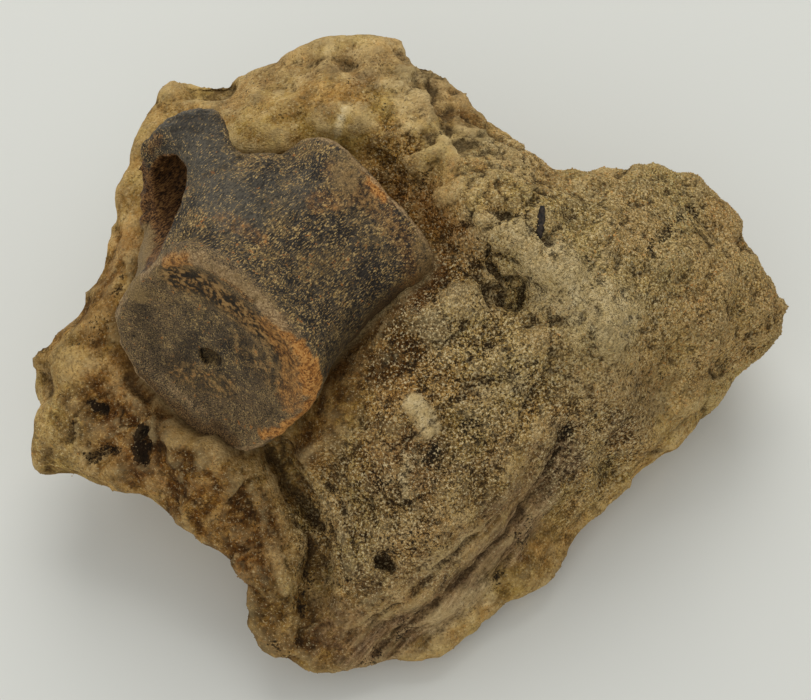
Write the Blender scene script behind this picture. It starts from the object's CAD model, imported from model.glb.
"""A fossil vertebra in its sandstone: fine surfaces, finishes, floor, light and camera.

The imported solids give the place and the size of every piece. Each piece here takes its solid's
mesh, makes it finer, weathers it and paints masks on its points for the finish to use.
Sizes are in millimetres and are turned into metres where Blender needs them.
"""

import logging
import math
from dataclasses import dataclass
from enum import Enum
from typing import Callable, Optional, Sequence, Union

import bmesh
import bpy
import numpy as np
from mathutils import Euler, Matrix, Vector, noise
from mathutils.bvhtree import BVHTree


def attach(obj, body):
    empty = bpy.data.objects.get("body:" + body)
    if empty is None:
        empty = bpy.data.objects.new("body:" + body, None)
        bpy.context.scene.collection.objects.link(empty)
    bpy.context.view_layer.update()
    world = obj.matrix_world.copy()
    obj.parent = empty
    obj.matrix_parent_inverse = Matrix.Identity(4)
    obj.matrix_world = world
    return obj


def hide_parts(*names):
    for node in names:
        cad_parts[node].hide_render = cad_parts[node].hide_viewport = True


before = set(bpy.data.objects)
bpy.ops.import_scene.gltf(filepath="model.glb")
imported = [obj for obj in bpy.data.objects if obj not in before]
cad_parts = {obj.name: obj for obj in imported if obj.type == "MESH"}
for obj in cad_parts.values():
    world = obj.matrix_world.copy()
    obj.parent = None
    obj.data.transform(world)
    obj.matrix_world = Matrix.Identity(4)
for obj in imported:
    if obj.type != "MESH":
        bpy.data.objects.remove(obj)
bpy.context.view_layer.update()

MM = 0.001
BODY = "root"
DRIFT_SEED = 1  # without one, drift() would differ at every run

Point = tuple[float, float, float]
Colour = tuple[int, int, int]  # as displayed, 0 to 255
Section = tuple[float, float, float, float, float]


def linear(colour: Colour) -> Point:
    """A display colour as the linear one that a shader takes, by the sRGB curve."""
    shares = [channel / 255.0 for channel in colour]
    return tuple(share / 12.92 if share <= 0.04045 else ((share + 0.055) / 1.055) ** 2.4 for share in shares)


def smooth_step(low: float, high: float, values: np.ndarray) -> np.ndarray:
    """0 below low, 1 above high and a smooth rise between them."""
    share = np.clip((values - low) / (high - low), 0.0, 1.0)
    return share * share * (3.0 - 2.0 * share)


# ---- Shader expressions


class Blend(Enum):
    """How an upper colour goes over a lower one."""

    COVER = "MIX"
    DARKEN = "MULTIPLY"
    LIGHTEN = "SCREEN"


def operator(operation: str, reflected: bool = False) -> Callable[["Wire", "Term"], "Wire"]:
    """Makes a method for Wire that adds a Math node.

    Args:
        operation: what the node does.
        reflected: whether the two terms change places.

    Returns:
        The method.
    """
    def method(wire: "Wire", other: "Term") -> "Wire":
        """The result of the Math node."""
        terms = (other, wire) if reflected else (wire, other)
        return wire.finish.node("Math", {"operation": operation}, dict(enumerate(terms)))

    return method


class Wire:
    """A shader socket that takes part in Python expressions."""

    __add__, __radd__ = operator("ADD"), operator("ADD", True)
    __sub__, __rsub__ = operator("SUBTRACT"), operator("SUBTRACT", True)
    __mul__, __rmul__ = operator("MULTIPLY"), operator("MULTIPLY", True)

    def __init__(self, finish: "Finish", socket: bpy.types.NodeSocket) -> None:
        """Keeps the socket and the finish that it belongs to."""
        self.finish = finish
        self.socket = socket

    def also(self, output: str) -> "Wire":
        """Another output of the same node."""
        return Wire(self.finish, self.socket.node.outputs[output])

    def step(self, low: float, high: float) -> "Wire":
        """0 below low, 1 above high and a smooth rise between them."""
        limits = {"Value": self, "From Min": low, "From Max": high}
        return self.finish.node("MapRange", {"interpolation_type": "SMOOTHSTEP"}, limits)


Term = Union[Wire, float]


class Finish:
    """The node tree of one material, worked back from its Principled shader."""

    def __init__(self, name: str, **constants: float) -> None:
        """Starts a material.

        Args:
            name: the material's name.
            constants: values that are the same all over, by socket name with _ for a space.
        """
        self.material = bpy.data.materials.new(name)
        self.material.use_nodes = True
        self.tree = self.material.node_tree
        self.shader = self.tree.nodes["Principled BSDF"]
        self.colour: Union[Wire, Colour] = (0, 0, 0)
        for socket, value in constants.items():
            self.shader.inputs[socket.replace("_", " ")].default_value = value

    def node(self, kind: str, settings: dict, inputs: dict, output: Union[int, str] = 0) -> Wire:
        """Adds one node.

        Args:
            kind: the node's type without its ShaderNode prefix.
            settings: its own options, or the stops of its ramp, which are set first.
            inputs: a value or a wire for each socket, by name or number.
            output: the socket to return.

        Returns:
            That output.
        """
        node = self.tree.nodes.new("ShaderNode" + kind)
        for name, value in settings.items():
            if name == "stops":
                self.set_stops(node.color_ramp, value)
            else:
                setattr(node, name, value)
        for name, value in inputs.items():
            self.connect(value, node.inputs[name])
        return Wire(self, node.outputs[output])

    def connect(self, value: Union[Term, tuple], target: bpy.types.NodeSocket) -> None:
        """Links a wire to an input, or sets the input.

        Args:
            value: a wire, or a number, a vector or a displayed colour.
            target: the input.
        """
        if isinstance(value, Wire):
            self.tree.links.new(value.socket, target)
        elif isinstance(value, tuple) and target.type == "RGBA":
            target.default_value = (*linear(value), 1.0)
        else:
            target.default_value = value

    @staticmethod
    def set_stops(ramp: bpy.types.ColorRamp, stops: Sequence[tuple[float, Colour]]) -> None:
        """Gives a colour ramp its stops.

        Args:
            ramp: the ramp.
            stops: positions and colours, in rising order.
        """
        while len(ramp.elements) < len(stops):
            ramp.elements.new(1.0)
        for stop, (position, colour) in zip(ramp.elements, stops):
            stop.position = position
            stop.color = (*linear(colour), 1.0)

    def place(self) -> Wire:
        """The point being shaded, in millimetres in the object's own frame."""
        raw = self.node("TexCoord", {}, {}, "Object")
        return self.node("VectorMath", {"operation": "MULTIPLY"}, {0: raw, 1: (1.0 / MM,) * 3})

    def turned(self, place: Wire, centre: Point, angles: Point, stretch: Point) -> Wire:
        """Places in a turned frame, each axis divided by its stretch."""
        axes = {"Vector": place, "Location": centre, "Rotation": angles, "Scale": stretch}
        return self.node("Mapping", {"vector_type": "TEXTURE"}, axes)

    def clouds(self, place: Wire, size: float, detail: float = 3.0, rough: float = 0.55) -> Wire:
        """Soft noise of about 0.25 to 0.75 with features of that size in millimetres."""
        inputs = {"Vector": place, "Scale": 1.0 / size, "Detail": detail, "Roughness": rough}
        return self.node("TexNoise", {}, inputs)

    def streaks(self, place: Wire, angles: Point, stretch: float, size: float) -> Wire:
        """Rough noise drawn out along the X axis of a turned frame."""
        along = self.turned(place, (0.0, 0.0, 0.0), angles, (stretch, 1.0, 1.0))
        return self.clouds(along, size, 4.0, 0.65)

    def grains(self, place: Wire, size: float) -> tuple[Wire, Wire]:
        """Closely packed grains.

        Args:
            place: where the pattern is read.
            size: a grain's width in millimetres.

        Returns:
            A random value for each grain, and the distance from its middle.
        """
        gap = self.node("TexVoronoi", {}, {"Vector": place, "Scale": 1.0 / size}, "Distance")
        chance = self.node("SeparateColor", {}, {"Color": gap.also("Color")})
        return chance, gap

    def painted(self, name: str) -> Wire:
        """A mask painted on the mesh's points."""
        return self.node("Attribute", {"attribute_name": name}, {}, "Fac")

    def ramp(self, value: Wire, *stops: tuple[float, Colour]) -> Wire:
        """The colour that the stops give to a value."""
        return self.node("ValToRGB", {"stops": stops}, {0: value})

    def lay(self, share: Term, over: Union[Wire, Colour], *stops: tuple[float, Colour],
            how: Blend = Blend.COVER) -> None:
        """Lays one more colour over what is there.

        Args:
            share: how much of it shows.
            over: the colour, or the value that the stops turn into one.
            stops: positions and colours, if it is a ramp.
            how: the way that the two mix.
        """
        upper = self.ramp(over, *stops) if stops else over
        settings = {"data_type": "RGBA", "blend_type": how.value, "clamp_factor": True}
        self.colour = self.node("Mix", settings, {0: share, 6: self.colour, 7: upper}, 2)

    def dress(self, roughness: Term, height: Wire, relief: float) -> bpy.types.Material:
        """Joins the colour and the relief to the shader.

        Args:
            roughness: the roughness.
            height: the fine relief, 0 to 1.
            relief: how high a height of 1 stands, in millimetres.

        Returns:
            The finished material.
        """
        self.connect(self.colour, self.shader.inputs["Base Color"])
        self.connect(roughness, self.shader.inputs["Roughness"])
        bump = self.node("Bump", {}, {"Strength": 1.0, "Distance": relief * MM, "Height": height})
        self.connect(bump, self.shader.inputs["Normal"])
        return self.material


# ---- Marks painted on points


CORE = 0.35  # the share of a stroke's width that has its full strength
LEDGE_CORE = 0.3
LEDGE_EDGE = (-0.3, 0.6)  # where a ledge starts and is whole, to the right of its line


@dataclass(frozen=True)
class Stroke:
    """A soft-edged stroke along a line of points, or a dab where there is one point."""

    width: float
    strength: float
    points: tuple[Point, ...]

    def gaps(self, places: np.ndarray) -> tuple[np.ndarray, np.ndarray]:
        """Measures from the line.

        Args:
            places: points in millimetres.

        Returns:
            How far each place is from the line, and how far to its right in plan.
        """
        nearest = np.full(len(places), np.inf)
        right = np.zeros(len(places))
        ends = self.points if len(self.points) > 1 else self.points * 2
        for start, end in zip(ends, ends[1:]):
            first = np.array(start)
            along = np.array(end) - first
            length = max(float(along @ along), 1e-9)
            share = np.clip((places - first) @ along / length, 0.0, 1.0)
            gap = places - first - share[:, None] * along
            distance = np.sqrt((gap * gap).sum(1))
            closer = distance < nearest
            across = (gap[:, 0] * along[1] - gap[:, 1] * along[0]) / math.sqrt(length)
            nearest = np.where(closer, distance, nearest)
            right = np.where(closer, across, right)
        return nearest, right

    def weight(self, places: np.ndarray) -> np.ndarray:
        """How much of the stroke lies on each place."""
        nearest, _ = self.gaps(places)
        return self.strength * (1.0 - smooth_step(CORE * self.width, self.width, nearest))


@dataclass(frozen=True)
class Ledge(Stroke):
    """A stroke that lies only on the right of its line in plan, with a sharp edge along it."""

    def weight(self, places: np.ndarray) -> np.ndarray:
        """How much of the stroke lies on each place."""
        nearest, right = self.gaps(places)
        faded = 1.0 - smooth_step(LEDGE_CORE * self.width, self.width, nearest)
        return self.strength * faded * smooth_step(*LEDGE_EDGE, right)


Strokes = tuple[Stroke, ...]


def strokes(*rows: tuple, kind: type = Stroke) -> Strokes:
    """Strokes from rows that each hold a width, a strength and points."""
    return tuple(kind(width, strength, tuple(points)) for width, strength, *points in rows)


def layer(marks: Strokes, places: np.ndarray) -> np.ndarray:
    """The strongest of several strokes at each place."""
    return np.max([mark.weight(places) for mark in marks], axis=0)


class Surface:
    """The points of a closed mesh in millimetres, to be pushed about and painted."""

    deep: float = 2.5  # how many standard deviations count as a full hollow

    def __init__(self, mesh: bpy.types.Mesh) -> None:
        """Reads the points and the edges that join them.

        Args:
            mesh: a closed mesh, in metres.
        """
        self.mesh = mesh
        flat = np.empty(len(mesh.vertices) * 3, np.float32)
        mesh.vertices.foreach_get("co", flat)
        self.places = flat.reshape(-1, 3).astype(float) / MM
        pairs = np.empty(len(mesh.edges) * 2, np.int32)
        mesh.edges.foreach_get("vertices", pairs)
        self.edges = pairs.reshape(-1, 2)
        self.degree = np.maximum(np.bincount(pairs, minlength=len(self.places)), 1)

    def around(self, values: np.ndarray) -> np.ndarray:
        """Means over the neighbours of each point.

        Args:
            values: a number or a vector for each point.

        Returns:
            The means, in the same form.
        """
        first, second = self.edges.T
        columns = values.reshape(len(values), -1).T
        totals = [
            np.bincount(first, column[second], len(values))
            + np.bincount(second, column[first], len(values))
            for column in columns
        ]
        return (np.array(totals) / self.degree).T.reshape(values.shape)

    def softened(self, values: np.ndarray, rounds: int) -> np.ndarray:
        """Evens values out with their neighbours.

        Args:
            values: a number or a vector for each point.
            rounds: how many times over.

        Returns:
            The softer values.
        """
        for _ in range(rounds):
            values = 0.5 * values + 0.5 * self.around(values)
        return values

    def normals(self) -> np.ndarray:
        """Reads which way the surface faces as it now is.

        Returns:
            The outward direction at each point.
        """
        self.write()
        flat = np.empty(len(self.places) * 3, np.float32)
        self.mesh.vertex_normals.foreach_get("vector", flat)
        return flat.reshape(-1, 3).astype(float)

    def hollow(self, rounds: int) -> np.ndarray:
        """How hollow the surface is against its wider form: 1 in the pits, -1 on the bumps."""
        gap = ((self.softened(self.places, rounds) - self.places) * self.normals()).sum(1)
        return np.clip(gap / (self.deep * gap.std()), -1.0, 1.0)

    def push(self, amount: np.ndarray) -> None:
        """Moves each point along its normal by an amount in millimetres."""
        self.places = self.places + self.normals() * amount[:, None]

    def paint(self, name: str, values: np.ndarray) -> None:
        """Stores a mask on the points under that name."""
        mask = self.mesh.attributes.new(name, "FLOAT", "POINT")
        mask.data.foreach_set("value", np.clip(values, 0.0, 1.0).astype(np.float32))

    def masks(self) -> dict[str, np.ndarray]:
        """Reads what is painted on the points.

        Returns:
            The values of every mask, by name.
        """
        found = {}
        for mask in self.mesh.attributes:
            if mask.data_type == "FLOAT" and mask.domain == "POINT":
                found[mask.name] = np.empty(len(self.places), np.float32)
                mask.data.foreach_get("value", found[mask.name])
        return found

    def write(self) -> None:
        """Puts the points back into the mesh."""
        self.mesh.vertices.foreach_set("co", (self.places * MM).astype(np.float32).ravel())
        self.mesh.update()


class Neighbour:
    """A finished piece that another one lies against."""

    def __init__(self, piece: bpy.types.Object) -> None:
        """Sorts the piece's faces for quick searches."""
        self.tree = BVHTree.FromObject(piece, bpy.context.evaluated_depsgraph_get())

    def gap(self, places: np.ndarray, reach: float) -> np.ndarray:
        """How far the piece is from each place, in millimetres, up to a reach."""
        found = [self.tree.find_nearest(place, reach * MM)[3] for place in places * MM]
        return np.array([reach if near is None else near / MM for near in found])

    def under(self, places: np.ndarray, depth: float) -> np.ndarray:
        """For each place, the nearest place on the piece, that deep under its surface."""
        found = [self.tree.find_nearest(place) for place in places * MM]
        return np.array([(spot - outward * depth * MM) / MM for spot, outward, _, _ in found])


# ---- Natural roughness


def rumple(places: np.ndarray, size: float, octaves: float, seed: float) -> np.ndarray:
    """Fractal noise, about -1 to 1, at each place.

    Args:
        places: where it is read, in millimetres.
        size: the width of its largest features.
        octaves: how many finer layers it has.
        seed: a shift that makes one noise unlike another.

    Returns:
        One value for each place.
    """
    return np.array([noise.fractal(place, 1.0, 2.0, octaves) for place in places / size + seed])


def crags(places: np.ndarray, size: float, seed: float) -> np.ndarray:
    """Sharp ridges with rounded hollows between them, about -1 to 1."""
    scaled = places / size + seed
    return np.array([noise.ridged_multi_fractal(place, 0.9, 2.1, 3, 1.0, 1.6) for place in scaled]) - 1.0


def facets(places: np.ndarray, size: float, seed: float) -> np.ndarray:
    """Flat tilted faces that meet in low steps, as on broken stone.

    Args:
        places: where they are read, in millimetres.
        size: the width of a face.
        seed: a shift that makes one set unlike another.

    Returns:
        One value for each place, about -1 to 1.
    """
    scaled = places / size + seed
    result = np.empty(len(scaled))
    for index, place in enumerate(scaled):
        middle = noise.voronoi(place)[1][0]
        tilt = noise.cell_vector(middle * 17.3) - Vector((0.5, 0.5, 0.5))
        result[index] = 2.0 * (Vector(place) - middle).dot(tilt)
    return result


def drift(places: np.ndarray, size: float) -> np.ndarray:
    """A smooth random shift for each place, about 1 long, which makes soft outlines ragged."""
    return np.array([tuple(noise.noise_vector(place)) for place in places / size])


# ---- Pieces


def finer_copy(node: str, name: str, voxel: float) -> bpy.types.Object:
    """Copies a solid's mesh and makes it even and fine.

    Args:
        node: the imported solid's name.
        name: the new piece's name.
        voxel: the width of its faces in millimetres.

    Returns:
        The new piece, in the scene.
    """
    piece = bpy.data.objects.new(name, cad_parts[node].data.copy())
    bpy.context.scene.collection.objects.link(piece)
    remesh = piece.modifiers.new("finer", "REMESH")
    remesh.mode = "VOXEL"
    remesh.voxel_size = voxel * MM
    evaluated = piece.evaluated_get(bpy.context.evaluated_depsgraph_get())
    fine = bpy.data.meshes.new_from_object(evaluated)
    piece.modifiers.clear()
    piece.data = fine
    fine.name = name
    fine.materials.clear()
    fine.shade_smooth()
    return piece


def settle(piece: bpy.types.Object, material: bpy.types.Material,
           node: Optional[str] = None) -> None:
    """Dresses a piece, fixes it to the body and stands it in for its solid.

    Args:
        piece: the finished piece.
        material: its finish.
        node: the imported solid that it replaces, if it replaces one.
    """
    piece.data.materials.append(material)
    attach(piece, BODY)
    if node:
        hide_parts(node)
    faces = sum(len(face.vertices) - 2 for face in piece.data.polygons)
    logging.info("%s: %d triangles", piece.name, faces)


# ---- Bone


BONE_CENTRE = (-28.3, 3.7, 60.0)
BONE_HEADING = math.radians(-122.9)
BONE_PITCH = math.radians(-18.7)
BONE_ROLL = math.radians(62.9)


def bone_frame() -> Matrix:
    """The turn from the bone's own axes to the block's."""
    headed = Matrix.Rotation(BONE_HEADING, 3, "Z") @ Matrix.Rotation(BONE_PITCH, 3, "Y")
    return headed @ Matrix.Rotation(BONE_ROLL, 3, "X")


@dataclass(frozen=True)
class BoneFinish:
    """Dark permineralised bone: slate and brown, stippled with ochre, rusty on its rims."""

    fleck_size: float = 0.31
    fleck_stretch: float = 3.8
    relief: float = 0.42

    def material(self) -> bpy.types.Material:
        """Builds the finish.

        Returns:
            The material.
        """
        finish = Finish("fossil_bone", Specular_IOR_Level=0.16)
        place = finish.place()
        turn = tuple(bone_frame().to_euler())
        streaked = finish.turned(place, BONE_CENTRE, turn, (self.fleck_stretch, 1.0, 1.0))
        broad = finish.clouds(place, 8.0, 3.0)
        middle = finish.clouds(place, 2.4, 3.0, 0.6)
        spots = finish.clouds(place, 1.2, 2.0, 0.6)
        along = finish.clouds(streaked, self.fleck_size, 2.0, 0.6)
        around = finish.clouds(place, self.fleck_size, 2.0, 0.65)
        chance, _ = finish.grains(place, 0.34)
        face, polish, mottle = (finish.painted(name) for name in ("face", "polish", "mottle"))
        fleck = along * (1.0 - face) + around * face
        patch = broad + 0.6 * (middle - 0.5)

        finish.lay(1.0, patch, (0.36, (56, 50, 42)), (0.5, (77, 68, 54)), (0.64, (104, 87, 60)))
        finish.lay(face * 0.75, (122, 101, 73))
        finish.lay(polish * 0.75, (90, 84, 71))
        ochre = finish.ramp(
            middle + 0.7 * (chance - 0.5),
            (0.2, (110, 84, 46)), (0.5, (146, 116, 66)), (0.8, (196, 166, 108)),
        )
        tuned = fleck + 0.05 * mottle - 0.06 * polish + 0.2 * (patch - 0.5) + 0.08 * (chance - 0.5)
        finish.lay(tuned.step(0.53, 0.58) * (0.85 - 0.2 * face), ochre)
        pore = 1.02 - fleck + 0.16 * (0.5 - patch) + 0.02 * face + 0.08 * (chance - 0.5)
        finish.lay(pore.step(0.56, 0.62) * (0.8 - 0.2 * polish), (27, 23, 18))
        spot = spots + 0.12 * (patch - 0.5) + 0.02 * mottle - 0.03 * polish
        finish.lay(spot.step(0.67, 0.71) * 0.8, (168, 108, 52))
        finish.lay(
            mottle * 0.9, middle + 0.8 * (spots - 0.5),
            (0.4, (30, 25, 19)), (0.49, (70, 52, 30)), (0.56, (132, 96, 52)), (0.68, (166, 131, 80)),
        )
        rust = finish.painted("rust") + 0.5 * (around - 0.5) + 0.6 * (spots - 0.5)
        finish.lay(
            rust.step(0.12, 0.85) * 0.92, spots + 0.5 * (chance - 0.5),
            (0.28, (118, 74, 33)), (0.46, (176, 116, 52)), (0.66, (204, 148, 80)),
        )
        rim = finish.painted("rim") + 0.8 * (around - 0.5) + 0.8 * (spots - 0.5)
        finish.lay(rim.step(0.3, 0.9) * 0.7, chance, (0.1, (126, 100, 66)), (0.9, (192, 162, 118)))
        seep = finish.painted("seep") + 0.9 * (middle - 0.5) + 0.3 * (spots - 0.5)
        finish.lay(
            seep.step(0.3, 0.85) * 0.75, around,
            (0.34, (48, 35, 20)), (0.5, (86, 62, 34)), (0.66, (134, 100, 58)),
        )
        finish.lay(finish.painted("soot") * 0.7, (33, 28, 22))
        earth = finish.painted("earth") + 0.5 * (spots - 0.5)
        finish.lay(
            earth.step(0.2, 0.8) * 0.9, along + 0.4 * (middle - 0.5),
            (0.36, (38, 25, 13)), (0.5, (98, 64, 32)), (0.64, (152, 110, 62)),
        )
        dust = finish.painted("dust") + 0.8 * (spots - 0.5)
        finish.lay(dust.step(0.3, 0.8) * 0.9, around, (0.35, (104, 82, 50)), (0.65, (164, 138, 92)))
        finish.lay(finish.painted("hollow") * 0.6, (30, 24, 17))
        return finish.dress(0.62 - 0.14 * polish, 0.6 * fleck + 0.3 * spots + 0.25 * chance, self.relief)


@dataclass
class FossilVertebra:
    """The bone: +X out of its front face, +Y the exposed side, +Z towards the arch."""

    voxel: float = 0.475
    rim_crest: float = 24.6
    rim_section: Section = (-4.3, 0.5, 25.8, 23.9, 3.0)
    rear_crest: float = -23.1
    rear_section: Section = (-1.5, 0.8, 25.8, 23.8, 4.4)
    canal_height: float = 32.8
    canal_half: tuple[float, float] = (7.8, 8.4)
    canal_edge: tuple[float, float] = (1.02, 1.15)
    stained: tuple[float, float] = (0.4, 6.0)
    face_sink: float = 0.9
    rust: Strokes = strokes(
        (1.9, 0.7, (25, 20, -6), (24.5, 20, -10)), (2.8, 0.9, (24, 20, -11), (23.7, 18.5, -14)),
        (3.8, 1.1, (23.5, 17, -16), (23, 13, -19.5)),
        (2.6, 0.9, (23, 10, -21), (23, 6, -22), (24, -2, -23), (24, -9, -21)),
        (2.8, 0.6, (25, 13, 19), (25, 7, 22)),
        (2.4, 0.35, (25, 16, 16), (25, 18, 11), (24, 19, 4)),
        (2.8, 0.9, (-22, 24, 5), (-22, 24, 1)),
        (6, 0.3, (-18, 22, 12), (-19, 22, 0), (-19, 21, -12), (-17, 19, -18)),
        (5, 0.32, (-9, 19, 10), (-13, 20, 7), (-18, 22, 7)),
        (6.5, 0.5, (24, 17, -4), (24, 14, -14), (23, 6, -19)),
        (5, 0.15, (23, -20, 2), (23, -15, -2), (23, -8, -12)),
        (4, 0.3, (12, 16, 20), (10, 18, 12)),
        (1.8, 0.35, (-23, 23, 13), (-22, 24, 5), (-23, 23, -4), (-23, 22, -10)),
        (4, 0.16, (24, -15, 6), (24, -17, 0), (23, -14, -4)),
    )
    mottle: Strokes = strokes(
        (6.4, 1, (24, 5, 17), (24, 8, 13), (24, 10, 8), (24, 12, 2), (24, 14, -4), (24, 14, -9)),
        (5, 0.5, (23, -19, 3), (23, -16, -2), (23, -11, -7)),
        (7, 0.45, (24, 3, -4), (24, 6, -12), (24, 10, -10)),
        (3.5, 0.6, (-19, 22, 9), (-18, 22, 2)),
    )
    polish: Strokes = strokes(
        (11, 1, (-7, 8, 44), (0, 12, 35), (5, 15, 27), (8, 16, 21)),
        (9, 0.7, (-8, 18, 16), (0, 17, 18), (10, 17, 20)),
    )
    soot: Strokes = strokes(
        (3.5, 0.6, (25, -12, 18), (24, -17, 13), (24, -21, 6)),
        (4.5, 0.6, (23, -14, 4), (23, -10, 5)),
        (8, 0.7, (14, 14, -20), (0, 14, -18), (-8, 15, -19)),
        (3.5, 0.6, (-3, 8, 43), (-9, 9, 43), (-12, 9, 41)),
        (7, 0.35, (2, 18, -1), (-4, 19, -6)),
        (1.6, 0.6, (6, 12, 31), (0, 13, 30), (-8, 12, 29)),
    )
    earth: Strokes = strokes(
        (7, 1, (0, -8, 44), (2, -9, 38), (8, -12, 33), (14, -9, 28)),
        (3, 0.5, (1, 4, 45), (0, 0, 44)),
    )
    dust: Strokes = strokes(
        (6, 1.2, (10, -12, 30), (17, -9, 26), (23, -8, 23)),
        (9, 0.42, (-17, 21, 9), (-15, 20, 0), (-16, 20, -8)),
        (6, 0.6, (-17, 22, 9), (-21, 23, 12)),
        (3, 0.5, (24, 17, 16), (24, 20, 8), (23, 21, 0)),
        (5, 0.55, (-21, 23, -13), (-20, 20, -20)), (5, 0.45, (-20, 22, 14), (-21, 23, 8)),
        (2.2, 0.5, (-24, 22, 10), (-25, 21, 0), (-25, 20, -12)),
    )
    pits: Strokes = strokes(
        (2.2, 2.6, (22, -8.3, -0.6), (22, -9.4, 0.8)), (1.1, 0.4, (-3, 18, 3)),
    )
    breaks: Strokes = strokes(
        (3.4, 1.9, (3, -8, 44), (0, -6, 45)), (2.6, 1.3, (-6, -7, 44), (6, -10, 39)),
    )
    swells: Strokes = strokes(
        (3.6, 1.6, (2, -9, 44), (4, -10, 39), (8, -12, 34)),
        (2, 0.8, (-6, 8, 46), (-11, 9, 44)),
    )
    pale: Strokes = strokes(
        (1.7, 1.2, (25, 14, 18), (25, 18, 13), (25, 20, 8), (24, 21, 2), (24, 21, -5)),
        (2, 0.6, (25, -24, 8), (24, -24, 0), (24, -22, -8)),
    )
    crease: Stroke = Stroke(1.2, 0.35, ((7, 13, 31), (1, 15, 30), (-8, 13, 29)))

    def local(self, surface: Surface) -> np.ndarray:
        """The surface's points in the bone's own frame."""
        return (surface.places - np.array(BONE_CENTRE)) @ np.array(bone_frame())

    @staticmethod
    def reach(places: np.ndarray, section: Section) -> np.ndarray:
        """How far out each place is in a rounded square section.

        Args:
            places: points in the bone's own frame.
            section: its middle, its half widths and its power.

        Returns:
            One value for each place, 1 on the outline.
        """
        side, up, half_side, half_up, power = section
        across = np.abs((places[:, 1] - side) / half_side) ** power
        rise = np.abs((places[:, 2] - up) / half_up) ** power
        return (across + rise) ** (1.0 / power)

    def shape(self) -> bpy.types.Object:
        """Wears the smooth solid into bone grain, pits and ragged rims.

        Returns:
            The bone.
        """
        piece = finer_copy("vertebra", "fossil_vertebra", self.voxel)
        surface = Surface(piece.data)
        surface.places = surface.softened(surface.places, 5)
        places = self.local(surface)
        along_grain = places * np.array((0.35, 1.0, 1.0))
        front = self.reach(places, self.rim_section)
        amount = 0.28 * rumple(places, 7.0, 3.0, 3.1)
        amount += 0.16 * rumple(along_grain, 1.6, 3.0, 11.7)
        amount += 0.5 * smooth_step(36.0, 41.0, places[:, 2]) * rumple(places, 2.6, 3.0, 9.9)
        edge = 1.0 - smooth_step(0.0, 3.5, np.abs(places[:, 0] - self.rim_crest))
        amount += 0.45 * edge * smooth_step(0.82, 0.95, front) * rumple(places, 2.4, 3.0, 5.3)
        on_face = smooth_step(20.5, 22.5, places[:, 0])
        amount -= self.face_sink * on_face * (1.0 - smooth_step(0.74, 0.92, front))
        amount += 0.4 * on_face * rumple(places, 9.0, 3.0, 7.7)
        ragged = places + 1.2 * drift(places, 1.6)
        amount += layer(self.swells, ragged) - layer(self.breaks, ragged)
        amount -= layer(self.pits, places) + self.crease.weight(places)
        surface.push(amount)
        surface.write()
        return piece

    def finish(self, piece: bpy.types.Object, block: Neighbour) -> None:
        """Paints where each part of the finish lies, and dresses the bone.

        Args:
            piece: the shaped bone.
            block: the shaped rock, which stains the bone where they meet.
        """
        surface = Surface(piece.data)
        places = self.local(surface)
        warped = places + 1.6 * drift(places, 4.0)
        nudged = places + 0.8 * drift(places, 1.7)
        on_face = smooth_step(21.0, 23.0, places[:, 0])
        front = self.reach(nudged, self.rim_section)
        line = 1.0 - smooth_step(0.3, 1.3, np.abs(front - 0.955) * self.rim_section[2])
        rust = layer(self.rust, nudged)
        rim = line * smooth_step(20.0, 23.0, places[:, 0]) * (1.0 - 0.9 * np.clip(rust, 0.0, 1.0))
        rear = self.reach(nudged, self.rear_section)
        rear_line = 1.0 - smooth_step(0.3, 1.5, np.abs(nudged[:, 0] - self.rear_crest))
        rim = np.maximum(rim, rear_line * smooth_step(0.9, 0.98, rear))
        rim = np.maximum(rim, layer(self.pale, nudged))
        half_side, half_up = self.canal_half
        bore = np.hypot(places[:, 1] / half_side, (places[:, 2] - self.canal_height) / half_up)
        in_canal = 1.0 - smooth_step(*self.canal_edge, bore)
        surface.paint("face", on_face)
        surface.paint("rim", rim)
        surface.paint("rust", rust)
        surface.paint("earth", np.maximum(in_canal, layer(self.earth, nudged)))
        for name, moved in (("mottle", nudged), ("dust", nudged), ("polish", warped), ("soot", warped)):
            surface.paint(name, layer(getattr(self, name), moved))
        near = 1.0 - smooth_step(*self.stained, block.gap(surface.places, self.stained[1]))
        surface.paint("seep", near * (1.0 - 0.8 * np.clip(np.maximum(rim, rust), 0.0, 1.0)))
        surface.paint("hollow", surface.hollow(12))
        settle(piece, BoneFinish().material(), "vertebra")


# ---- Rock


class Grain(Enum):
    """Whether grains are packed in the rock's face or stand out of it."""

    PACKED = "sandstone"
    LOOSE = "loose_sand"


SEAM_TURN = (0.0, math.radians(-26.0), math.radians(43.0))  # the bedding's own X axis
GULLY_TURN = (0.0, math.radians(29.0), math.radians(-66.0))  # the left splits' own X axis


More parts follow.
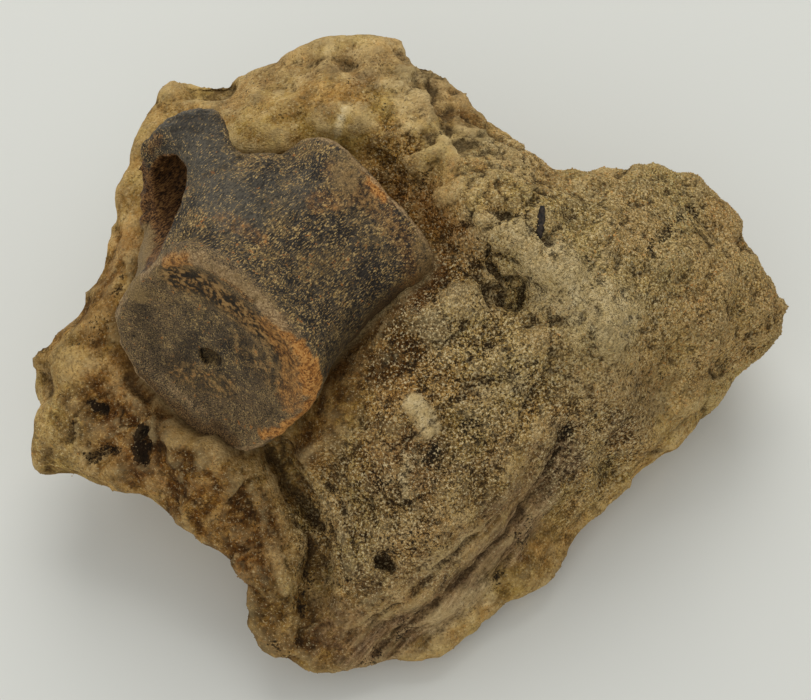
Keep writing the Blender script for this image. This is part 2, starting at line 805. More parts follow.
@dataclass(frozen=True)
class SandstoneFinish:
    """Medium sandstone: packed grains where it is fresh, smeared clay where it is weathered."""

    grain: Grain = Grain.PACKED
    grain_size: float = 0.5
    coarse_size: float = 1.1
    relief: float = 0.6

    @staticmethod
    def ground(finish: Finish, place: Wire, crumb: Wire) -> None:
        """Lays the clay between the grains.

        Args:
            finish: the material being made.
            place: the point being shaded.
            crumb: noise with features of 3 mm.
        """
        broad = finish.clouds(place, 24.0, 2.0)
        patch = finish.clouds(place, 6.0, 3.0, 0.6)
        hue = finish.clouds(place, 13.0, 3.0, 0.6)
        split = finish.streaks(place, GULLY_TURN, 5.0, 1.1)
        finish.lay(
            1.0, broad + 1.2 * (patch - 0.5) + 1.1 * (crumb - 0.5),
            (0.18, (104, 77, 39)), (0.38, (144, 113, 63)), (0.56, (174, 143, 86)), (0.78, (204, 174, 116)),
        )
        rusty = finish.painted("rusty") + 1.2 * (hue - 0.5)
        finish.lay(
            rusty.step(0.2, 0.9) * 0.6, crumb,
            (0.32, (84, 55, 24)), (0.5, (126, 88, 42)), (0.68, (158, 118, 64)),
        )
        finish.lay(
            finish.painted("ochre") * 0.8, patch,
            (0.32, (138, 104, 52)), (0.5, (168, 136, 80)), (0.66, (194, 164, 108)),
        )
        finish.lay(
            finish.painted("split") * 0.8, split,
            (0.36, (46, 34, 19)), (0.46, (92, 66, 36)), (0.58, (134, 104, 62)), (0.68, (164, 136, 92)),
        )

    @staticmethod
    def stain(finish: Finish, place: Wire, crumb: Wire) -> None:
        """Shades clay and grains alike: damp patches, rust, olive cement, bedding and pale dust.

        Args:
            finish: the material being made.
            place: the point being shaded.
            crumb: noise with features of 3 mm.
        """
        cement = finish.clouds(place, 15.0, 3.0, 0.6)
        damp = finish.clouds(place, 7.0, 6.0, 0.7)
        finish.lay(
            1.0, cement, (0.38, (246, 242, 206)), (0.5, (255, 250, 232)), (0.62, (255, 238, 210)),
            how=Blend.DARKEN,
        )
        finish.lay((0.5 - damp).step(0.02, 0.12) * 0.5, (74, 54, 29))
        finish.lay((damp - 0.5).step(0.02, 0.13) * 0.4, (220, 192, 136))
        finish.lay(finish.painted("rusty") * 0.8, (250, 220, 176), how=Blend.DARKEN)
        finish.lay(
            finish.painted("umber"), crumb,
            (0.32, (120, 100, 76)), (0.5, (164, 142, 112)), (0.66, (226, 212, 188)), how=Blend.DARKEN,
        )
        streak = finish.streaks(place, SEAM_TURN, 16.0, 0.9)
        finish.lay(
            finish.painted("plum") * 0.75, streak,
            (0.34, (56, 41, 30)), (0.46, (100, 76, 54)), (0.56, (138, 109, 79)), (0.68, (176, 148, 112)),
        )
        mellow, chalk = finish.painted("mellow"), finish.painted("chalk")
        finish.lay(mellow * 0.3, (172, 148, 96))
        finish.lay(mellow * 0.8, (92, 79, 47), how=Blend.LIGHTEN)
        finish.lay(chalk * 0.9, (120, 104, 70), how=Blend.LIGHTEN)
        finish.lay(
            chalk * chalk * 0.75, crumb,
            (0.36, (196, 170, 114)), (0.5, (222, 198, 146)), (0.64, (244, 226, 182)),
        )

    def material(self) -> bpy.types.Material:
        """Builds the finish.

        Returns:
            The material.
        """
        finish = Finish(self.grain.value, Specular_IOR_Level=0.1)
        place = finish.place()
        crumb = finish.clouds(place, 2.6, 5.0, 0.7)
        dust = finish.clouds(place, 0.62, 2.0, 0.7)
        chance, grain_gap = finish.grains(place, self.grain_size)
        coarse, _ = finish.grains(place, self.coarse_size)
        if self.grain is Grain.LOOSE:
            chance = finish.painted("tint")
        grit, crevice, mellow = (finish.painted(name) for name in ("grit", "crevice", "mellow"))
        loud = grit - 0.6 * mellow
        self.ground(finish, place, crumb)
        finish.lay(
            0.16 + 0.56 * grit if self.grain is Grain.PACKED else 0.6 + 0.35 * grit,
            chance + 0.12 * (mellow - grit), (0.0, (34, 26, 15)),
            (0.1, (80, 60, 32)), (0.22, (144, 112, 62)), (0.52, (190, 155, 94)),
            (0.78, (224, 194, 130)), (0.93, (255, 244, 208)), (0.97, (222, 146, 62)),
        )
        self.stain(finish, place, crumb)
        if self.grain is Grain.PACKED:
            speck = dust + 0.1 * crevice + 0.04 * grit + 0.22 * (crumb - 0.5)
            finish.lay(speck.step(0.57, 0.64) * (0.55 + 0.35 * loud), (42, 31, 17))
            finish.lay((1.0 - dust + 0.06 * grit).step(0.60, 0.68) * (0.3 + 0.6 * loud), (230, 209, 160))
            finish.lay(coarse.step(0.92, 0.94) * (0.25 + 0.5 * loud), (46, 36, 23))
        seep = finish.painted("seep")
        finish.lay((seep + 0.9 * (crumb - 0.5)).step(0.3, 1.0) * 0.6, (86, 58, 26))
        finish.lay(seep.step(0.85, 1.0) * 0.4, (50, 36, 19))
        finish.lay(finish.painted("dip") * 0.28, (66, 47, 24))
        finish.lay(crevice * 0.65, (42, 30, 16))
        finish.lay(finish.painted("crest") * 0.4, (194, 170, 120))
        char = finish.painted("char") + 1.3 * (dust - 0.5) + crumb - 0.5
        finish.lay(char.step(0.42, 0.66) * 0.88, (28, 22, 15))
        height = (0.3 + 0.7 * grit) * (1.0 - grain_gap) + 0.6 * dust + (0.4 + 0.5 * grit) * crumb
        return finish.dress(0.88, height, self.relief)


@dataclass
class MatrixBlock:
    """The block of sandstone, on its flat base, with its marks in the block's frame."""

    voxel: float = 0.88
    base_height: float = 0.4
    lap: float = 0.3
    calm: tuple[float, float] = (0.4, 2.6)
    closing: tuple[float, float] = (0.7, 1.8)
    stained: tuple[float, float] = (0.5, 8.0)
    swells: Strokes = strokes(
        (5, 1.6, (-57, 61, 61)),
        (6, 1.4, (-26, 68, 66), (-18, 66, 72), (-8, 65, 74)),
        (6, 1, (-18, 59, 72), (-8, 60, 72), (-2, 55, 74)),
        (9, 3.4, (-40, 41, 63), (-35, 40, 64), (-29, 39, 66)),
        (6, 1.8, (30, 2, 61), (36, -1, 63)), (4, 1, (15, 41, 72), (18, 40, 70)),
        (5, 1.6, (-19, 44, 72), (-13, 43, 73)),
        (7, 3.4, (15, 14, 62), (19, 11, 61), (23, 7, 57)),
        (5, 1.3, (5, 60, 73), (9, 56, 72)),
        (3, 1, (-10, 44, 75), (-8, 41, 73), (-4, 37, 70)),
        (3, 1.2, (2, 33, 71), (6, 33, 75), (13, 40, 73), (22, 38, 69), (26, 34, 69)),
        (3, 1.1, (8, 23, 70), (11, 23, 74), (21, 28, 73), (29, 25, 71)),
        (5, 1.8, (20, 14, 71), (24, 11, 70), (28, 8, 69), (33, 3, 68), (40, -2, 66)),
        (4, 2, (18, 15, 66), (21, 12, 66), (24, 10, 64)),
        (5, 1.4, (32, 8, 70), (39, 1, 67), (46, -7, 63), (47, -10, 60)),
        (6, 1.2, (11, -1, 65), (16, -2, 65)), (3.4, 1, (2, -23, 54), (4, -27, 50)),
        (5, 1, (12, -13, 58), (21, -13, 58), (30, -9, 61)),
        (3, 0.8, (-27, -25, 37), (-22, -31, 35), (-16, -40, 33), (-13, -50, 31)),
        (2.4, 0.6, (-35, -36, 38), (-31, -46, 29), (-28, -54, 24)),
        (6, 1, (-76, -8, 45), (-82, -5, 44)),
        (5, 0.9, (-56, -23, 43), (-47, -26, 43), (-44, -30, 43)),
        (7, 1.5, (10, -62, 7), (20, -56, 8)),
    )
    cuts: Strokes = strokes(
        (7, 2.4, (-51, 62, 63), (-46, 62, 63), (-46, 67, 56), (-50, 67, 56)),
        (7, 1.4, (-83, -27, 25), (-77, -31, 26)), (7, 1.4, (-84, 3, 44), (-79, 7, 46)),
        (6, 1.8, (-87, -9, 38)), (8, 2.4, (-75, 18, 51), (-72, 24, 54)),
        (13, 2, (38, 42, 59), (38, 46, 52), (38, 50, 45)),
        (5, 1.2, (52, 40, 60), (52, 46, 52)), (5, 2.2, (84, 27, 46), (84, 30, 41)),
        (8, 0.9, (47, -30, 13), (44, -34, 11)), (10, 0.8, (70, -11, 20), (70, -7, 13)),
        (7, 1.5, (64, -18, 14), (60, -20, 15)),
        (5, 0.5, (-21, 59, 73), (-13, 59, 72), (-5, 58, 74)),
        (6, 1.5, (2, 62, 76), (3, 66, 68), (3, 70, 60)),
        (5, 2.8, (94, 17, 34), (95, 14, 31)),
        (2, 1, (93, 14, 33), (88, 10, 34), (84, 7, 34)),
        (2.4, 0.5, (-36, 44, 67), (-31, 44, 70)),
        (2.2, 0.8, (20, 14, 73), (23, 15.5, 73), (26, 17.5, 72)),
        (2, 0.7, (17, 27, 74), (20, 31, 72), (24, 31, 71)),
        (2, 1, (32, 12, 71), (33, 14, 71)), (2.4, 0.5, (28.5, 13, 72), (28.5, 17, 72.5)),
        (3, 0.5, (-1, -30, 49), (1, -35, 47), (-3, -40, 42), (-3, -48, 37)),
        (3.4, 0.5, (8, -30, 50), (5, -37, 46), (5, -44, 39)),
        (1.8, 0.8, (-26, -40, 29), (-22, -44, 24), (-25, -55, 18), (-25, -63, 14)),
        (1.6, 0.9, (-7, -65, 10), (5, -57, 18), (16, -48, 22), (27, -38, 28), (36, -25, 39)),
        (1.6, 0.7, (-14, -63, 14), (-2, -58, 22), (9, -50, 29), (21, -41, 33)),
        (2.6, 0.8, (27, -39, 27), (26, -43, 23), (22, -48, 16)),
        (3, 1.2, (-59, -14, 44), (-64, -11, 45)), (2, 0.9, (69, 31, 54)),
    )
    lifts: Strokes = strokes(
        (15, 3.4, (-73, -29, 17), (-68, -30, 17), (-61, -33, 18), (-55, -36, 18)),
        (12, 2.2, (-47, -42, 16)), (12, 3.4, (-41, -47, 14), (-37, -53, 13)), (8, 1.6, (-36, -60, 13)),
    )
    lift: Point = (0.0, 0.87, 0.5)
    ledges: Strokes = strokes(
        (6, 0.2, (17, 9, 62), (22, 9, 61), (26, 7, 60), (30, 3, 61)),
        (11, 2.2, (10, 37, 74), (9, 39, 74), (7, 43, 75), (6, 49, 74), (4, 56, 73), (2, 60, 74),
         (0, 66, 72)),
        (8, 1.2, (19, 41, 70), (15, 42, 72), (12, 38, 74), (8, 35, 75), (5, 33, 74), (0, 34, 71),
         (-2, 34, 68)),
        (5, 1, (34, 5, 69), (32, 9, 71), (28, 13, 73), (26, 15, 73), (21, 16, 73)),
        (5, 1.2, (-32, -22, 39), (-27, -30, 33), (-22, -34, 30), (-19, -39, 27), (-17, -46, 29)),
        (5, 0.7, (-50, -42, 30), (-55, -34, 36), (-58, -29, 38), (-58, -22, 42)),
        kind=Ledge,
    )
    pits: Strokes = strokes(
        (2, 2.2, (-5.4, -50.4, 30.6), (-3.4, -52, 29.8)), (1.5, 1.2, (-74, -14, 40)),
        (1.5, 1.2, (-70, -15, 39)),
        (1.7, 1.4, (-60, -22, 41), (-60.5, -25, 38.5), (-61, -28, 37)),
        (1.4, 0.9, (-74, -26, 34), (-68, -25, 37)), (1.2, 0.9, (16, 27, 74)), (1.4, 0.9, (-67, 8, 55)),
        (1.4, 1, (-14, -54, 27)),
    )
    grit: Strokes = strokes(
        (40, 1, (17, -7, 61), (40, 4, 62), (66, 22, 54), (81, 12, 43)),
        (26, 0.9, (17, -17, 56), (8, -31, 49), (-8, -43, 36)),
        (24, 0.9, (35, -11, 58), (46, -22, 31)), (16, 0.6, (21, 19, 75), (27, 35, 69)),
        (12, 0.5, (-3, 34, 69), (6, 20, 65)),
        (18, 0.12, (-48, -36, 38), (-38, -42, 34), (-30, -50, 26), (-28, -60, 17)),
        (14, 0.15, (-78, -20, 38), (-66, -20, 40)), (30, 0.7, (60, 70, 40), (20, 80, 40)),
        (26, 0.6, (-70, 40, 25), (-40, 80, 30)),
    )
    mellow: Strokes = strokes(
        (40, 1, (60, 30, 58), (80, 30, 46), (76, 6, 42)),
        (24, 1, (36, 4, 67), (44, 0, 64), (48, -8, 60)),
        (16, 0.7, (14, 30, 74), (22, 34, 71)),
    )
    broken: Strokes = strokes(
        (18, 1, (6, 34, 71), (20, 34, 70), (22, 18, 72)),
        (12, 0.8, (5, 55, 73), (12, 50, 72)), (12, 0.3, (-46, -36, 38), (-36, -44, 31)),
        (8, 0.3, (-60, -18, 42), (-70, -18, 39)),
    )
    fresh: Strokes = strokes(
        (19, 1.3, (-48, 44, 62), (-38, 41, 64), (-28, 39, 66), (-18, 38, 68)),
        (12, 0.6, (-6, 36, 68), (2, 28, 67), (7, 18, 65)),
    )
    char: Strokes = strokes(
        (2.6, 0.9, (-74, -14, 40), (-73, -15, 39.5)), (2.6, 0.9, (-70, -15, 39), (-69, -15, 39)),
        (3, 0.85, (-60, -22, 41), (-60.5, -25, 38.5), (-61, -28, 37)),
        (2, 0.55, (-79, -20, 39)), (2.4, 0.5, (-31, -65, 16), (-28, -67, 13)), (2.6, 0.45, (-13, 53, 75)),
        (3.4, 0.4, (-8, 47, 76), (-5, 45, 75)), (3, 0.4, (-18, 42, 73)),
        (3.4, 0.35, (8, 42, 75), (9, 39, 74)), (3, 0.4, (25, 16, 73), (27, 18, 72)),
        (3.4, 0.45, (5, 27, 66), (5, 29, 69)), (3, 0.6, (-74, -26, 34), (-68, -25, 37)),
        (6, 0.25, (-73, -15, 40), (-66, -18, 41), (-60, -22, 41)),
        (2.6, 0.6, (-66, 9, 56), (-67, 7, 54)), (4.5, 0.4, (-70, 1, 52), (-75, -2, 48)),
        (1.7, 1, (-5.8, -51, 30.5), (-3.8, -51.8, 29.8)), (2.4, 0.6, (38, -23, 43), (36, -24, 42)),
        (5, 0.3, (40, -22, 44), (33, -27, 43), (27, -31, 41)),
        (4.6, 0.5, (28, -39, 27), (27, -41, 24), (28, -41, 22)),
        (3, 0.5, (22, -48, 16), (21, -49, 14)), (3.4, 0.5, (0, -60, 15), (-2, -62, 12)),
        (3, 0.45, (-7, -65, 10), (-9, -66, 9)),
        (6, 0.15, (19, 9, 61), (23, 8, 58), (25, 7, 58)),
        (6, 0.3, (-21, 59, 73), (-13, 60, 70), (-5, 60, 73)),
        (5, 0.25, (-38, 59, 67), (-35, 55, 69)),
        (5, 0.25, (-28, 44, 72), (-24, 48, 74), (-18, 48, 75)),
        (7, 0.2, (-6, 35, 67), (1, 27, 66), (8, 18, 64)),
        (4.5, 0.55, (16, -25, 52), (14, -27, 51)), (4, 0.6, (7, -32, 49), (4, -34, 47)),
        (5, 0.45, (-5, -36, 46), (-5, -40, 43)),
        (6, 0.4, (-4, -48, 34), (3, -48, 36), (8, -47, 36)),
        (3, 0.4, (-13, -38, 37)),
        (9, 0.3, (11, -9, 60), (15, -11, 58), (24, -12, 58)),
        (10, 0.25, (-43, -39, 35), (-36, -41, 33)),
        (5, 0.35, (-13, -54, 27), (-24, -48, 26), (-22, -43, 26)),
        (4, 0.5, (-24, -50, 21), (-25, -57, 17)),
        (7, 0.35, (48, -12, 50), (54, -14, 44), (60, -9, 41)),
        (10, 0.2, (-45, -36, 38), (-38, -44, 31)), (1.4, 0.8, (41, 8, 67)),
        (2.4, 0.6, (69, 31, 54), (57, 15, 60)),
    )
    umber: Strokes = strokes(
        (7, 0.55, (-20, 59, 73), (-13, 59, 72), (-6, 58, 74)),
        (10, 0.6, (8, 56, 72), (10, 49, 73), (14, 45, 72)),
        (5.5, 1, (7, 9, 62), (4, 4, 61), (1, -3, 62), (-5, -6, 60), (-9, -9, 57), (-14, -12, 54),
         (-17, -16, 52)),
        (12, 0.5, (-70, -10, 43), (-67, -9, 46), (-60, -20, 42)),
        (9, 0.6, (-72, 6, 50), (-70, -2, 49), (-74, 9, 49)),
        (12, 0.5, (-84, -6, 42), (-80, 2, 46)), (10, 0.3, (-78, -24, 34), (-68, -26, 35)),
        (8, 0.25, (-56, 62, 62), (-60, 56, 60)),
        (13, 0.9, (-32, -58, 19), (-30, -64, 14), (-20, -63, 14)),
        (13, 0.4, (21, -47, 20), (28, -43, 17), (38, -38, 14)),
        (7, 0.5, (-14, -61, 17), (-12, -54, 27)),
        (6, 0.7, (-24, -45, 25), (-24, -52, 20), (-26, -60, 15)),
        (13, 0.45, (-44, -36, 38), (-36, -44, 31), (-34, -52, 24)),
        (9, 0.6, (-64, -12, 45), (-59, -17, 44), (-57, -26, 40)),
        (7, 0.35, (1, 27, 66), (8, 18, 66), (10, 12, 65)),
        (14, 1, (-50, -42, 28), (-42, -48, 26), (-37, -55, 22)),
        (4, 0.3, (-36, 44, 67), (-28, 44, 71)), (9, 0.35, (60, -9, 40), (50, -20, 38)),
        (8, 1, (4, -7, 61), (-3, -12, 58), (-10, -15, 56), (-15, -20, 52), (-24, -27, 43)),
        (14, 1, (-50, -34, 38), (-43, -39, 35), (-36, -42, 33)),
        (13, 1, (-73, -16, 40), (-69, -19, 39), (-62, -24, 39), (-60, -25, 37)),
        (9, 0.35, (16, -25, 52), (8, -32, 49), (-5, -37, 45)),
        (9, 0.6, (-13, -63, 14), (-20, -56, 17)), (6, 0.5, (10, -31, 48), (6, -36, 46)),
        (7, 0.35, (25, 6, 58), (20, 9, 61)), (10, 0.3, (10, -31, 48), (-4, -40, 43)),
    )
    rusty: Strokes = strokes(
        (5, 1, (8, 8, 62), (6, 3, 62)), (2.4, 1, (19, 28, 73), (22, 30, 72)), (3.4, 0.8, (11, 27, 75)),
        (12, 0.8, (-4, 34, 68), (3, 26, 66), (9, 14, 64), (8, 3, 63)),
        (16, 0.45, (-52, -28, 40), (-42, -34, 38), (-35, -42, 32)),
        (12, 0.5, (-62, -12, 45), (-58, -26, 39)),
        (16, 0.8, (88, 12, 38), (81, 8, 36), (76, 2, 37)),
        (14, 0.5, (80, 35, 48), (75, 19, 50), (65, -2, 43)),
        (10, 0.5, (4, -16, 57), (-7, -36, 44)), (8, 0.5, (-72, 0, 50), (-66, 20, 56)),
    )
    ochre: Strokes = strokes(
        (12, 1, (-33, 42, 68), (-38, 49, 70), (-30, 52, 72)),
        (12, 0.8, (-68, 26, 57), (-62, 40, 60)), (6, 0.6, (-1, 35, 70), (5, 28, 68)),
    )
    split: Strokes = strokes(
        (7, 1, (-31, -26, 37), (-27, -35, 31), (-22, -44, 25), (-21, -50, 24)),
        (7, 0.7, (-38, -33, 38), (-32, -44, 31), (-30, -56, 21)),
        (6, 0.7, (-22, -56, 20), (-24, -63, 14)),
    )
    plum: Strokes = strokes(
        (10, 1, (-10, -66, 9), (5, -58, 17), (16, -50, 21), (28, -40, 27), (36, -27, 37)),
        (11, 0.6, (-14, -62, 16), (-2, -57, 23), (9, -50, 29), (21, -41, 33), (36, -24, 42)),
        (14, 0.45, (44, -14, 56), (49, -16, 50), (56, -18, 36)),
        (24, 0.35, (-2, -36, 45), (0, -50, 32), (20, -38, 38)),
    )
    plates: Strokes = strokes(
        (1.9, 1.6, (-16, 40.5, 72.3), (-15, 42.5, 73.5), (-14, 44.5, 75)),
        (3.5, 1.6, (2, -22.5, 55), (4.5, -24.5, 53), (5.5, -26.5, 51)),
        (0.9, 1.5, (8, 22, 69)),
    )
    chalk: Strokes = strokes(
        (14, 0.35, (-42, 58, 67), (-20, 65, 72), (-6, 62, 74), (8, 55, 72)),
        (9, 0.4, (10, 38, 74), (18, 38, 70), (27, 34, 69)),
        (12, 0.8, (33, 4, 67), (43, -2, 65), (50, -4, 61)),
        (5, 0.4, (-38, 40, 64), (-29, 39, 67)),
        (2.2, 0.8, (1, -31, 49), (0, -35, 47), (-1, -40, 43)),
        (4, 0.5, (23, -18, 55), (26, -16, 56)), (3, 0.5, (-13, -40, 35), (-15, -44, 33)),
        (5, 0.4, (6, -51, 30), (12, -47, 31)), (7, 0.5, (12, -1, 64), (7, -8, 62)),
        (7, 0.5, (4, 60, 74), (0, 52, 75), (2, 44, 76)),
        (8, 0.4, (9, -1, 66), (15, -2, 64)),
        (7, 0.7, (26, 12, 72), (30, 8, 71), (35, 3, 68), (39, -1, 65), (45, -8, 62)),
        (6, 0.5, (14, 14, 72), (25, 14, 72)), (7, 0.5, (13, 39, 73), (22, 37, 70)),
        (10, 0.15, (-81, -22, 36), (-81, -7, 43)), (7, 0.5, (8, -60, 15), (18, -53, 15)),
        (6, 0.3, (26, -14, 57), (16, -24, 53)),
    )

    @staticmethod
    def flatten_base(mesh: bpy.types.Mesh, height: float) -> None:
        """Makes one flat face of the fine faces under the block.

        Args:
            mesh: the block's mesh.
            height: how high its points are still taken down to the base, in millimetres.
        """
        work = bmesh.new()
        work.from_mesh(mesh)
        low = [vert for vert in work.verts if vert.co.z < height * MM]
        for vert in low:
            vert.co.z = 0.0
        inside = [vert for vert in low if all(edge.other_vert(vert).co.z == 0.0 for edge in vert.link_edges)]
        bmesh.ops.dissolve_verts(work, verts=inside)
        work.to_mesh(mesh)
        work.free()
        mesh.update()

    @staticmethod
    def grooved(places: np.ndarray, angles: Point, size: float, seed: float) -> np.ndarray:
        """Long parallel ridges and grooves, about -1 to 1.

        Args:
            places: where they are read, in millimetres.
            angles: the turn that takes the X axis along them.
            size: how far apart they are.
            seed: a shift that makes one set unlike another.

        Returns:
            One value for each place.
        """
        turned = places @ np.array(Euler(angles).to_matrix())
        return crags(turned * np.array((0.07, 1.0, 1.0)), size, seed)

    def roughen(self, places: np.ndarray) -> np.ndarray:
        """Works out the relief of the broken surface.

        Args:
            places: points in millimetres.

        Returns:
            How far it stands out at each place, in millimetres.
        """
        grit = layer(self.grit, places)
        bent = places + 1.5 * drift(places, 5.0)
        broken = layer(self.broken, places)
        amount = (0.15 + 0.5 * grit) * rumple(places, 12.0, 3.0, 2.3)
        amount += (0.4 + 0.3 * grit + 0.3 * broken) * facets(bent, 15.0, 4.4)
        amount += (0.1 + 0.9 * broken) * facets(bent, 6.0, 7.2)
        amount += (0.08 + 0.1 * grit + 0.15 * broken) * facets(bent, 2.8, 9.4)
        amount += (0.06 + 0.12 * grit) * crags(bent, 5.0, 1.7)
        amount += (0.06 + 0.2 * grit + 0.1 * broken) * rumple(places, 3.4, 3.0, 8.1)
        amount += (0.12 + 0.12 * grit + 0.1 * broken) * rumple(places, 1.4, 2.0, 6.6)
        amount += 0.18 * layer(self.plum, places) * self.grooved(places, SEAM_TURN, 1.3, 5.1)
        return amount + 0.3 * layer(self.split, places) * self.grooved(bent, GULLY_TURN, 1.7, 2.9)

    def shape(self, bone: Neighbour) -> bpy.types.Object:
        """Breaks the solid's facets into ledges, crumbs and chips, and leaves the base flat.

        Args:
            bone: the shaped bone, which the socket closes up to.

        Returns:
            The block.
        """
        piece = finer_copy("sandstone_matrix", "sandstone_block", self.voxel)
        self.flatten_base(piece.data, self.base_height)
        surface = Surface(piece.data)
        rise = smooth_step(0.2, 4.0, surface.places[:, 2])
        even = surface.softened(surface.places, 4)
        surface.places += (even - surface.places) * rise[:, None]
        gap = bone.gap(surface.places, self.calm[1])
        rise *= 0.2 + 0.8 * smooth_step(*self.calm, gap)
        bent = surface.places + 1.5 * drift(surface.places, 5.0)
        amount = self.roughen(surface.places)
        surface.push((layer(self.swells, bent) - layer(self.cuts, bent)) * rise)
        surface.places += (layer(self.lifts, bent) * rise)[:, None] * np.array(self.lift)
        bent = surface.places + 0.8 * drift(surface.places, 2.6)
        surface.push((amount - layer(self.ledges, bent)) * rise)
        surface.push(-layer(self.pits, surface.places + 0.7 * drift(surface.places, 1.5)) * rise)
        close = np.flatnonzero(gap < self.closing[1])
        pull = (1.0 - smooth_step(*self.closing, gap[close]))[:, None]
        under = bone.under(surface.places[close], self.lap)
        surface.places[close] += (under - surface.places[close]) * pull
        surface.write()
        return piece

    def finish(self, piece: bpy.types.Object, bone: Neighbour) -> None:
        """Paints where each part of the finish lies, and dresses the block.

        Args:
            piece: the shaped block.
            bone: the shaped bone, which stains the rock around it.
        """
        surface = Surface(piece.data)
        places = surface.places
        warped = places + 5.0 * drift(places, 9.0)
        near = places + 2.2 * drift(places, 4.0) + drift(places, 1.7)
        close = 1.0 - smooth_step(*self.stained, bone.gap(places, self.stained[1]))
        stale = 1.0 - np.clip(layer(self.fresh, places), 0.0, 1.0)
        plates = layer(self.plates, places + 0.4 * drift(places, 1.2))
        surface.paint("seep", close * stale)
        surface.paint("grit", layer(self.grit, warped) * (1.0 - 0.8 * np.clip(plates, 0.0, 1.0)))
        for name in ("mellow", "rusty", "ochre"):
            surface.paint(name, layer(getattr(self, name), warped))
        for name in ("char", "umber", "split", "plum"):
            surface.paint(name, layer(getattr(self, name), near))
        surface.paint("chalk", np.maximum(layer(self.chalk, near), plates))
        fine = surface.hollow(5)
        wide = surface.hollow(50)
        surface.paint("crevice", fine * (0.3 + 0.7 * stale))
        surface.paint("crest", -0.6 * fine - 0.4 * wide)
        surface.paint("dip", wide * stale)
        settle(piece, SandstoneFinish().material(), "sandstone_matrix")


@dataclass
class SandGrains:
    """Single grains that stand out of the sandstone where its face is fresh."""

    count: int = 23000
    smallest: float = 0.22
    largest: float = 0.62
    sunk: float = 0.2
    scatter: float = 0.3
    uneven: tuple[float, float] = (0.75, 1.25)
    clearance: tuple[float, float] = (1.5, 3.0)
    soaked: float = 0.97
    bare_share: float = 0.03
    seed: int = 7

    def facings(self, chance: np.random.Generator, count: int) -> np.ndarray:
        """Draws a random turn for each grain.

        Args:
            chance: where the draws come from.
            count: how many grains there are.

        Returns:
            The turns, as rotation matrices.
        """
        turns = chance.normal(size=(count, 4))
        turns /= np.linalg.norm(turns, axis=1)[:, None]
        w, x, y, z = turns.T
        return np.array((
            (1 - 2 * (y * y + z * z), 2 * (x * y - z * w), 2 * (x * z + y * w)),
            (2 * (x * y + z * w), 1 - 2 * (x * x + z * z), 2 * (y * z - x * w)),
            (2 * (x * z - y * w), 2 * (y * z + x * w), 1 - 2 * (x * x + y * y)),
        )).transpose(2, 0, 1)

    def build(self, name: str, block: bpy.types.Object) -> None:
        """Scatters, shapes and dresses the grains.

        Args:
            name: the piece's name.
            block: the finished block, whose masks the grains take over.
        """
        chance = np.random.default_rng(self.seed)
        surface = Surface(block.data)
        outward = surface.normals()
        masks = surface.masks()
        likely = (self.bare_share + masks["grit"]) * (1.0 - masks["crevice"])
        likely *= smooth_step(*self.clearance, surface.places[:, 2]) * (masks["seep"] < self.soaked)
        spots = chance.choice(len(likely), self.count, p=likely / likely.sum())
        size = self.smallest + (self.largest - self.smallest) * chance.random(self.count) ** 2.0
        shift = chance.normal(scale=self.scatter, size=(self.count, 3))
        shift -= (shift * outward[spots]).sum(1)[:, None] * outward[spots]
        middles = surface.places[spots] + shift
        middles -= outward[spots] * (self.sunk * size)[:, None]
        corners = np.array(((1, 0, 0), (-1, 0, 0), (0, 1, 0), (0, -1, 0), (0, 0, 1), (0, 0, -1)), float)
        radii = 0.5 * size[:, None, None] * chance.uniform(*self.uneven, (self.count, 6, 1))
        turned = (corners * radii) @ self.facings(chance, self.count).transpose(0, 2, 1)
        points = (middles[:, None, :] + turned).reshape(-1, 3)
        sides = np.array([
            (second, first, third) if (first + second + third) % 2 else (first, second, third)
            for first in (0, 1) for second in (2, 3) for third in (4, 5)
        ])
        faces = (np.arange(self.count)[:, None, None] * len(corners) + sides).reshape(-1, 3)
        mesh = bpy.data.meshes.new(name)
        mesh.from_pydata((points * MM).tolist(), [], faces.tolist())
        piece = bpy.data.objects.new(name, mesh)
        bpy.context.scene.collection.objects.link(piece)
        grains = Surface(mesh)
        for mask, values in masks.items():
            grains.paint(mask, np.repeat(values[spots], len(corners)))
        grains.paint("tint", np.repeat(chance.random(self.count), len(corners)))
        settle(piece, SandstoneFinish(Grain.LOOSE).material())


# ---- Splinter


@dataclass(frozen=True)
class CharcoalFinish:
    """Glossy black carbonised bone."""

    relief: float = 0.3

    def material(self) -> bpy.types.Material:
        """Builds the finish.

        Returns:
            The material.
        """
        finish = Finish("jet_black_bone", Specular_IOR_Level=0.25)
        place = finish.place()
        streak = finish.clouds(place, 0.8, 3.0)
        finish.lay(1.0, streak, (0.35, (20, 17, 15)), (0.65, (62, 52, 42)))
        return finish.dress(0.5 + 0.2 * streak, streak, self.relief)


@dataclass
class BlackSplinter:
    """The small black splinter on the slope."""

    voxel: float = 0.2

    def build(self) -> None:
        """Makes, roughens and dresses the splinter."""
        piece = finer_copy("bone_splinter", "black_splinter", self.voxel)
        surface = Surface(piece.data)
        surface.push(0.12 * rumple(surface.places, 1.2, 3.0, 1.9))
        surface.write()
        settle(piece, CharcoalFinish().material(), "bone_splinter")


# ---- Studio


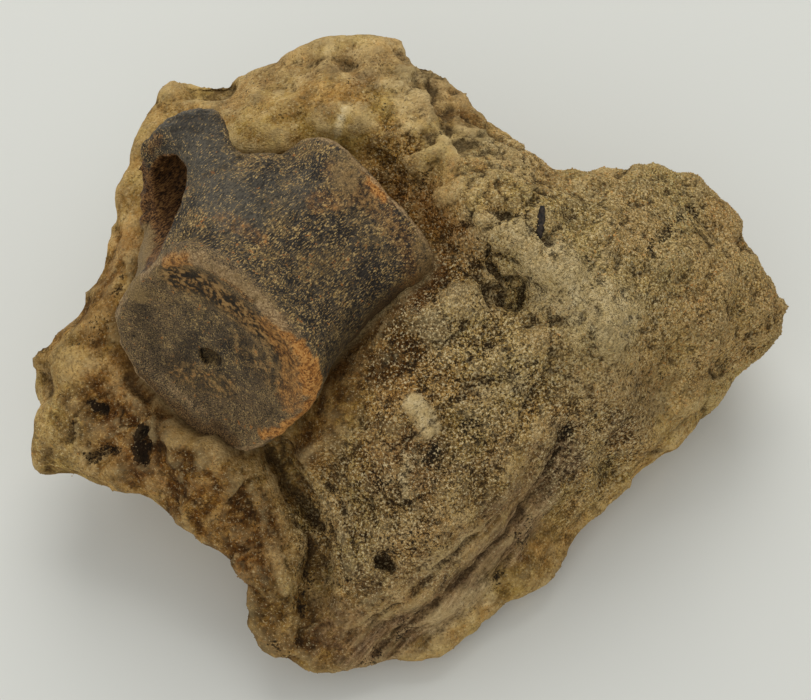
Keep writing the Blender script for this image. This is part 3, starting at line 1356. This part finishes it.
@dataclass
class Studio:
    """Floor, soft light and the camera."""

    aim: Point = (0.0, 0.0, 40.0)
    distance: float = 420.0
    elevation: float = math.radians(60.0)
    lens: float = 78.0
    sensor: float = 36.0
    floor_size: float = 3000.0
    sky: float = 0.5
    lamps: tuple[tuple[str, Point, float, float], ...] = (
        ("window", (0.0, 800.0, 1000.0), 900.0, 7.6),
        ("fill", (-300.0, -900.0, 750.0), 1200.0, 3.6),
    )

    def floor(self) -> None:
        """A plain pale floor."""
        bpy.ops.mesh.primitive_plane_add(size=self.floor_size * MM)
        floor = bpy.context.object
        floor.name = "floor"
        finish = Finish("pale_floor", Roughness=0.9, Specular_IOR_Level=0.1)
        finish.connect((221, 222, 215), finish.shader.inputs["Base Color"])
        floor.data.materials.append(finish.material)

    def lights(self) -> None:
        """Two large soft lamps and an even pale sky."""
        world = bpy.data.worlds.new("soft_room")
        world.use_nodes = True
        sky = world.node_tree.nodes["Background"]
        sky.inputs["Color"].default_value = (1.0, 1.0, 1.0, 1.0)
        sky.inputs["Strength"].default_value = self.sky
        bpy.context.scene.world = world
        for name, place, width, watts in self.lamps:
            lamp = bpy.data.lights.new(name, "AREA")
            lamp.shape = "SQUARE"
            lamp.size = width * MM
            lamp.energy = watts
            holder = bpy.data.objects.new(name, lamp)
            holder.location = Vector(place) * MM
            facing = Vector(self.aim) * MM - holder.location
            holder.rotation_euler = facing.to_track_quat("-Z", "Y").to_euler()
            bpy.context.scene.collection.objects.link(holder)

    def camera(self) -> None:
        """The camera, above the front and aimed at the middle of the block."""
        camera = bpy.data.cameras.new("camera")
        camera.lens = self.lens
        camera.sensor_width = self.sensor
        camera.clip_start = 0.01
        holder = bpy.data.objects.new("camera", camera)
        back = Vector((0.0, -math.cos(self.elevation), math.sin(self.elevation)))
        holder.location = (Vector(self.aim) + back * self.distance) * MM
        holder.rotation_euler = Euler((math.pi / 2 - self.elevation, 0.0, 0.0))
        bpy.context.scene.collection.objects.link(holder)
        bpy.context.scene.camera = holder

    def build(self) -> None:
        """Sets up the studio."""
        bpy.context.scene.view_settings.view_transform = "Standard"
        self.floor()
        self.lights()
        self.camera()


def main() -> None:
    """Builds every piece in order."""
    logging.basicConfig(level=logging.INFO, format="%(message)s")
    noise.seed_set(DRIFT_SEED)
    Studio().build()
    vertebra = FossilVertebra()
    bone = vertebra.shape()
    matrix = MatrixBlock()
    block = matrix.shape(Neighbour(bone))
    vertebra.finish(bone, Neighbour(block))
    matrix.finish(block, Neighbour(bone))
    SandGrains().build("sand_grains", block)
    SandGrains(seed=8, smallest=0.3, largest=0.8).build("coarse_sand_grains", block)
    BlackSplinter().build()


if __name__ == "__main__":
    main()
